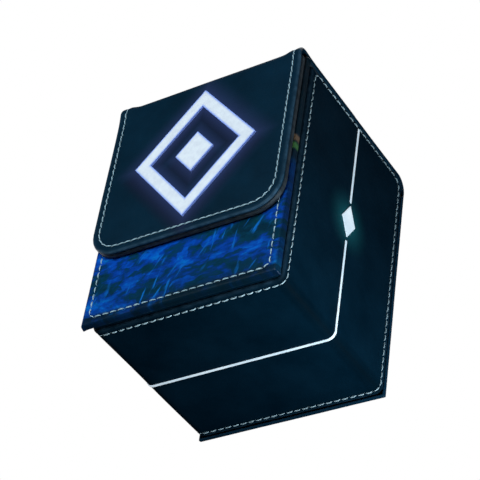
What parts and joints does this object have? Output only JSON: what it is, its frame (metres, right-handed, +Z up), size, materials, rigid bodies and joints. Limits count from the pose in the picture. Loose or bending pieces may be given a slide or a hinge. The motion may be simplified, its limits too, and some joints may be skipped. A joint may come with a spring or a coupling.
{
  "type": "card deck box",
  "caption": "Upright flip-lid deck box in stitched leatherette over board, with a lined card well and a magnetic flap that closes over the front panel.",
  "frame": {"origin": "middle of the footprint, on the floor that the box stands on", "axes": "+Z up out of the card well, -Y out of the front panel and flap, +X to the right seen from the front"},
  "size_m": [0.0838, 0.0864, 0.1073],
  "materials": {
    "leatherette": "fine-grained, soft satin, dark navy",
    "printed_leatherette": "printed with abstract blue brush strokes, satin",
    "greyboard": "matt, faced with blue-black paper",
    "microfibre": "short matt nap",
    "thread": "twisted thread, pale grey-blue",
    "magnet": "nickel-plated",
    "silver_foil": "satin silver foil",
    "emblem": "soft white moulded badge with a pale blue rim"
  },
  "bodies": {
    "box": {"body_wrap": "leatherette", "left_side_board": "greyboard", "right_side_board": "greyboard", "bottom_board": "greyboard", "back_wall_board": "greyboard", "left_lining": "microfibre", "right_lining": "microfibre", "bottom_lining": "microfibre", "front_lining": "microfibre", "back_lining": "microfibre", "front_wall_board": "greyboard", "front_welt": "leatherette", "front_panel_skin": "printed_leatherette", "front_panel_board": "greyboard", "front_magnet_left": "magnet", "front_magnet_right": "magnet", "back_panel_skin": "leatherette", "back_panel_board": "greyboard", "spine_hinge": "leatherette", "stripe_lower": "silver_foil", "left_stripe_upper": "silver_foil", "right_stripe_upper": "silver_foil", "left_badge": "silver_foil", "right_badge": "silver_foil", "body_stitching": "thread", "front_panel_stitching": "thread", "back_panel_stitching": "thread"},
    "lid": {"lid_skin": "leatherette", "lid_board": "greyboard", "lid_lining": "microfibre", "fold_hinge": "leatherette", "lid_stitching_left": "thread", "lid_stitching_right": "thread"},
    "flap": {"flap_skin": "leatherette", "flap_stiffener_board": "greyboard", "flap_board": "greyboard", "flap_magnet_left": "magnet", "flap_magnet_right": "magnet", "flap_lining": "microfibre", "emblem_frame": "emblem", "emblem_centre": "emblem", "flap_stitching": "thread"}
  },
  "joints": [
    {"name": "lid_hinge", "type": "hinge", "parent": "box", "child": "lid", "pos_m": [0, 0.04135, 0.106], "axis": [-1, 0, 0], "range_deg": [0, 175]},
    {"name": "flap_hinge", "type": "hinge", "parent": "lid", "child": "flap", "pos_m": [0, -0.0412, 0.1059], "axis": [-1, 0, 0], "range_deg": [0, 175]}
  ]
}
